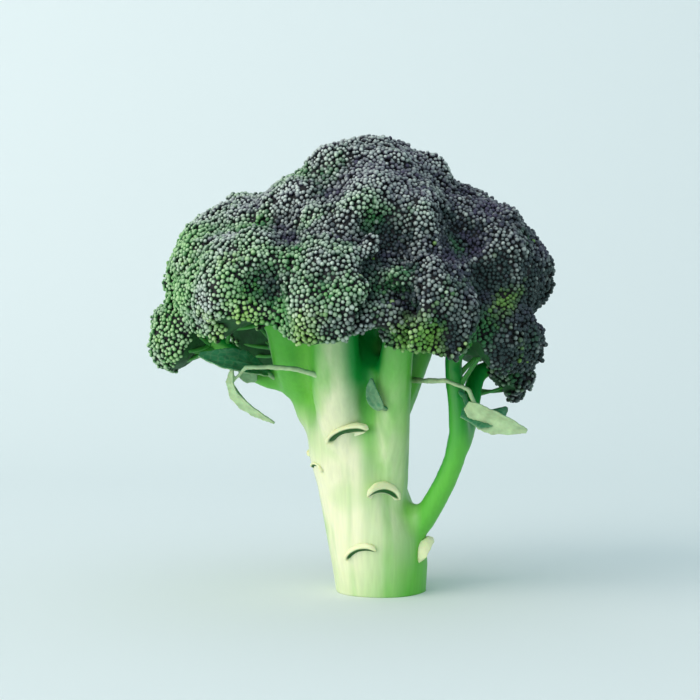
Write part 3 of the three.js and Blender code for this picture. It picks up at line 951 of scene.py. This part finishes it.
def build_leaves(settings):
    """The small leaves that were left on, each with its stalk."""
    material = leaf_skin(settings)
    ripple = texture("ripple", "CLOUDS", noise_scale=5 * MM, noise_depth=2)
    for node in nodes_of("leaf"):
        leaf = merged_copy([node], node.replace("leaf", "foliage"))
        modify(leaf, "REMESH", mode="VOXEL", voxel_size=0.4 * MM)
        modify(leaf, "SMOOTH", factor=0.5, iterations=5)
        modify(leaf, "DISPLACE", texture=ripple, texture_coords="LOCAL", strength=1.0 * MM,
               direction="Z")
        normals = read(leaf.data.vertices, "normal", 3)
        paint(leaf.data, "under", np.clip(PALENESS.get(node, 0.1) - 0.5 * normals[:, 2], 0, 1))
        finish_piece(leaf, material, [node])


# ---- Stage ----


def add_light(name, place, aim, size, power, tint):
    data = bpy.data.lights.new(name, "AREA")
    data.shape = "DISK"
    data.size = size
    data.energy = power
    data.color = linear(tint)
    light = bpy.data.objects.new(name, data)
    light.location = place
    light.rotation_euler = (Vector(aim) - Vector(place)).to_track_quat("-Z", "Y").to_euler()
    bpy.context.scene.collection.objects.link(light)


def build_stage(settings):
    """Seamless paper that sweeps up behind the head, and soft lights."""
    deselect()
    bpy.ops.mesh.primitive_plane_add(size=1)
    paper = bpy.context.object
    paper.name = "paper"
    near, far, half, tall = -3.0, 1.3, 4.0, 3.0
    points = np.array([(-half, near, 0), (half, near, 0), (-half, far, 0), (half, far, 0)])
    write_points(paper.data, points)
    bpy.ops.object.mode_set(mode="EDIT")
    grid = bmesh.from_edit_mesh(paper.data)
    for edge in grid.edges:
        edge.select = all(v.co.y > far - 0.01 for v in edge.verts)
    grid.select_mode = {"EDGE"}
    grid.select_flush_mode()
    bmesh.update_edit_mesh(paper.data)
    bpy.ops.mesh.extrude_region_move(TRANSFORM_OT_translate={"value": (0, 0, tall)})
    bpy.ops.mesh.select_all(action="DESELECT")
    for edge in grid.edges:
        edge.select = all(v.co.y > far - 0.01 and v.co.z < 0.01 for v in edge.verts)
    bmesh.update_edit_mesh(paper.data)
    bpy.ops.mesh.bevel(offset=0.9, segments=32)
    bpy.ops.object.mode_set(mode="OBJECT")
    paper.data.materials.append(seamless_paper(settings))
    bpy.ops.object.shade_smooth()

    middle = (CROWN_MIDDLE.x, 0, settings.aim_height)
    add_light("key", (-1.9, -1.15, 1.15), middle, 2.5, 44, "#fff5ec")
    add_light("fill", (-0.5, -1.5, 0.25), middle, 1.0, 5, "#f4fbff")
    world = bpy.data.worlds.new("studio")
    world.use_nodes = True
    sky = world.node_tree.nodes["Background"]
    sky.inputs["Color"].default_value = opaque(linear("#dcf0f6"))
    sky.inputs["Strength"].default_value = 0.75
    bpy.context.scene.world = world
    bpy.context.scene.view_settings.view_transform = "Standard"


def build_camera(settings):
    data = bpy.data.cameras.new("camera")
    data.lens = settings.lens
    camera = bpy.data.objects.new("camera", data)
    camera.location = (CROWN_MIDDLE.x, -settings.distance, settings.camera_height)
    aim = Vector((CROWN_MIDDLE.x, 0, settings.aim_height))
    camera.rotation_euler = (aim - camera.location).to_track_quat("-Z", "Y").to_euler()
    bpy.context.scene.collection.objects.link(camera)
    bpy.context.scene.camera = camera


# ---- The add-on ----


class BROCCOLI_OT_camera(bpy.types.Operator):
    """Add the camera"""

    bl_idname = "broccoli.camera"
    bl_label = "Camera"

    def execute(self, context):
        build_camera(context.scene.broccoli_stage)
        return {"FINISHED"}


class BROCCOLI_OT_stem(bpy.types.Operator):
    """Add the stalk and its branches"""

    bl_idname = "broccoli.stem"
    bl_label = "Stem"

    def execute(self, context):
        build_stem(context.scene.broccoli_stem)
        return {"FINISHED"}


class BROCCOLI_OT_stubs(bpy.types.Operator):
    """Add the stubs of the leaves that were cut off"""

    bl_idname = "broccoli.stubs"
    bl_label = "Leaf stubs"

    def execute(self, context):
        build_stubs(context.scene.broccoli_stem)
        return {"FINISHED"}


class BROCCOLI_OT_crown(bpy.types.Operator):
    """Add the crown's flesh"""

    bl_idname = "broccoli.crown"
    bl_label = "Crown"

    def execute(self, context):
        build_crown(context.scene.broccoli_crown)
        return {"FINISHED"}


class BROCCOLI_OT_buds(bpy.types.Operator):
    """Cover the crown with closed buds"""

    bl_idname = "broccoli.buds"
    bl_label = "Buds"

    def execute(self, context):
        build_buds(context.scene.broccoli_crown)
        return {"FINISHED"}


class BROCCOLI_OT_branchlets(bpy.types.Operator):
    """Add the thin stalks under the florets"""

    bl_idname = "broccoli.branchlets"
    bl_label = "Branchlets"

    def execute(self, context):
        build_branchlets(context.scene.broccoli_crown)
        return {"FINISHED"}


class BROCCOLI_OT_leaves(bpy.types.Operator):
    """Add the small leaves that were left on"""

    bl_idname = "broccoli.leaves"
    bl_label = "Leaves"

    def execute(self, context):
        build_leaves(context.scene.broccoli_leaf)
        return {"FINISHED"}


class BROCCOLI_OT_stage(bpy.types.Operator):
    """Add the paper and the lights"""

    bl_idname = "broccoli.stage"
    bl_label = "Stage"

    def execute(self, context):
        build_stage(context.scene.broccoli_stage)
        return {"FINISHED"}


SETTINGS = {
    "broccoli_stem": StemSettings,
    "broccoli_crown": CrownSettings,
    "broccoli_leaf": LeafSettings,
    "broccoli_stage": StageSettings,
}
OPERATORS = [
    BROCCOLI_OT_camera,
    BROCCOLI_OT_stem,
    BROCCOLI_OT_stubs,
    BROCCOLI_OT_crown,
    BROCCOLI_OT_buds,
    BROCCOLI_OT_branchlets,
    BROCCOLI_OT_leaves,
    BROCCOLI_OT_stage,
]


class BROCCOLI_PT_build(bpy.types.Panel):
    bl_idname = "BROCCOLI_PT_build"
    bl_label = "Broccoli head"
    bl_space_type = "VIEW_3D"
    bl_region_type = "UI"
    bl_category = "Broccoli"

    def draw(self, context):
        for operator in OPERATORS:
            self.layout.operator(operator.bl_idname)
        for name, group in SETTINGS.items():
            box = self.layout.box()
            for key in group.__annotations__:
                box.prop(getattr(context.scene, name), key)


def register():
    for group in [*SETTINGS.values(), *OPERATORS, BROCCOLI_PT_build]:
        bpy.utils.register_class(group)
    for name, group in SETTINGS.items():
        setattr(bpy.types.Scene, name, bpy.props.PointerProperty(type=group))


def unregister():
    for name in SETTINGS:
        delattr(bpy.types.Scene, name)
    for group in reversed([*SETTINGS.values(), *OPERATORS, BROCCOLI_PT_build]):
        bpy.utils.unregister_class(group)


def main():
    register()
    for operator in OPERATORS:
        section, name = operator.bl_idname.split(".")
        getattr(getattr(bpy.ops, section), name)()


if __name__ == "__main__":
    main()
